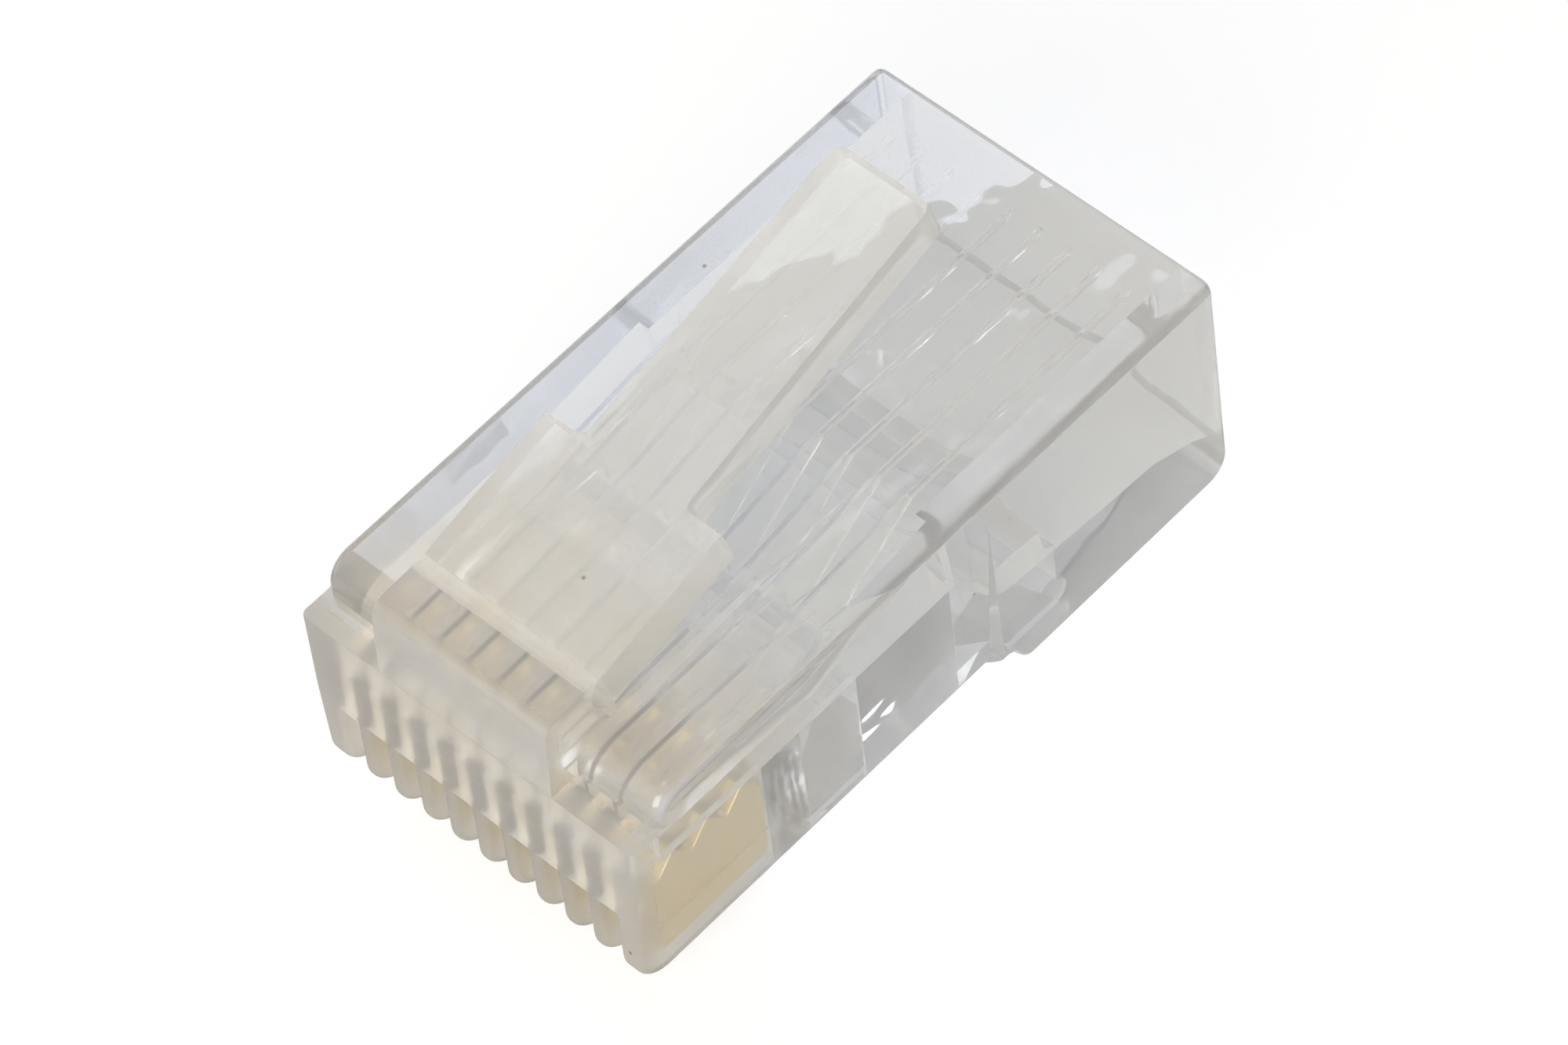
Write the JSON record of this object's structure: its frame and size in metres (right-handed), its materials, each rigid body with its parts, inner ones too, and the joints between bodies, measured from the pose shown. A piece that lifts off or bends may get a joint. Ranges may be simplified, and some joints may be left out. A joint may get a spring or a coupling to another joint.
{
  "type": "modular plug",
  "caption": "Clear crimp-on modular network plug with a spring latch, gold-plated blade contacts in a comb nose, wire guide ribs and strain relief bars.",
  "frame": {"origin": "bottom centre of the bounding box: under the middle of the plug's length, on the plane of the contact side's rear section", "axes": "+X from the nose to the cable entry, +Y across the contact row, +Z from the contact side up to the latch side"},
  "size_m": [0.022, 0.0116, 0.0132],
  "materials": {
    "clear_polycarbonate": "clear glossy moulding",
    "gold_plating": "bright gold over nickel"
  },
  "bodies": {
    "housing": {"housing": "clear_polycarbonate"},
    "latch": {"latch": "clear_polycarbonate"},
    "conductor_bar": {"conductor_bar": "clear_polycarbonate"},
    "jacket_bar": {"jacket_bar": "clear_polycarbonate"},
    "contact_01": {"contact_01": "gold_plating"},
    "contact_02": {"contact_02": "gold_plating"},
    "contact_03": {"contact_03": "gold_plating"},
    "contact_04": {"contact_04": "gold_plating"},
    "contact_05": {"contact_05": "gold_plating"},
    "contact_06": {"contact_06": "gold_plating"},
    "contact_07": {"contact_07": "gold_plating"},
    "contact_08": {"contact_08": "gold_plating"},
    "contact_09": {"contact_09": "gold_plating"},
    "contact_10": {"contact_10": "gold_plating"}
  },
  "joints": [
    {"name": "latch_flex", "type": "hinge", "parent": "housing", "child": "latch", "pos_m": [-0.0082, 0, 0.00891], "axis": [0, 1, 0], "range_deg": [0, 14.5], "stiffness_Nm_per_rad": 0.3},
    {"name": "conductor_bar_crimp", "type": "slide", "parent": "housing", "child": "conductor_bar", "axis": [0, 0, 1], "range_m": [0, 0.0007]},
    {"name": "jacket_bar_crimp", "type": "hinge", "parent": "housing", "child": "jacket_bar", "pos_m": [0.0049, 0, 0.0005], "axis": [0, 1, 0], "range_deg": [0, 24]},
    {"name": "contact_01_crimp", "type": "slide", "parent": "housing", "child": "contact_01", "axis": [0, 0, 1], "range_m": [0, 0.0006]},
    {"name": "contact_02_crimp", "type": "slide", "parent": "housing", "child": "contact_02", "axis": [0, 0, 1], "range_m": [0, 0.0006]},
    {"name": "contact_03_crimp", "type": "slide", "parent": "housing", "child": "contact_03", "axis": [0, 0, 1], "range_m": [0, 0.0006]},
    {"name": "contact_04_crimp", "type": "slide", "parent": "housing", "child": "contact_04", "axis": [0, 0, 1], "range_m": [0, 0.0006]},
    {"name": "contact_05_crimp", "type": "slide", "parent": "housing", "child": "contact_05", "axis": [0, 0, 1], "range_m": [0, 0.0006]},
    {"name": "contact_06_crimp", "type": "slide", "parent": "housing", "child": "contact_06", "axis": [0, 0, 1], "range_m": [0, 0.0006]},
    {"name": "contact_07_crimp", "type": "slide", "parent": "housing", "child": "contact_07", "axis": [0, 0, 1], "range_m": [0, 0.0006]},
    {"name": "contact_08_crimp", "type": "slide", "parent": "housing", "child": "contact_08", "axis": [0, 0, 1], "range_m": [0, 0.0006]},
    {"name": "contact_09_crimp", "type": "slide", "parent": "housing", "child": "contact_09", "axis": [0, 0, 1], "range_m": [0, 0.0006]},
    {"name": "contact_10_crimp", "type": "slide", "parent": "housing", "child": "contact_10", "axis": [0, 0, 1], "range_m": [0, 0.0006]}
  ],
  "couplings": [
    {"joint": "contact_02_crimp", "follows": "contact_01_crimp", "ratio": 1},
    {"joint": "contact_03_crimp", "follows": "contact_01_crimp", "ratio": 1},
    {"joint": "contact_04_crimp", "follows": "contact_01_crimp", "ratio": 1},
    {"joint": "contact_05_crimp", "follows": "contact_01_crimp", "ratio": 1},
    {"joint": "contact_06_crimp", "follows": "contact_01_crimp", "ratio": 1},
    {"joint": "contact_07_crimp", "follows": "contact_01_crimp", "ratio": 1},
    {"joint": "contact_08_crimp", "follows": "contact_01_crimp", "ratio": 1},
    {"joint": "contact_09_crimp", "follows": "contact_01_crimp", "ratio": 1},
    {"joint": "contact_10_crimp", "follows": "contact_01_crimp", "ratio": 1}
  ]
}
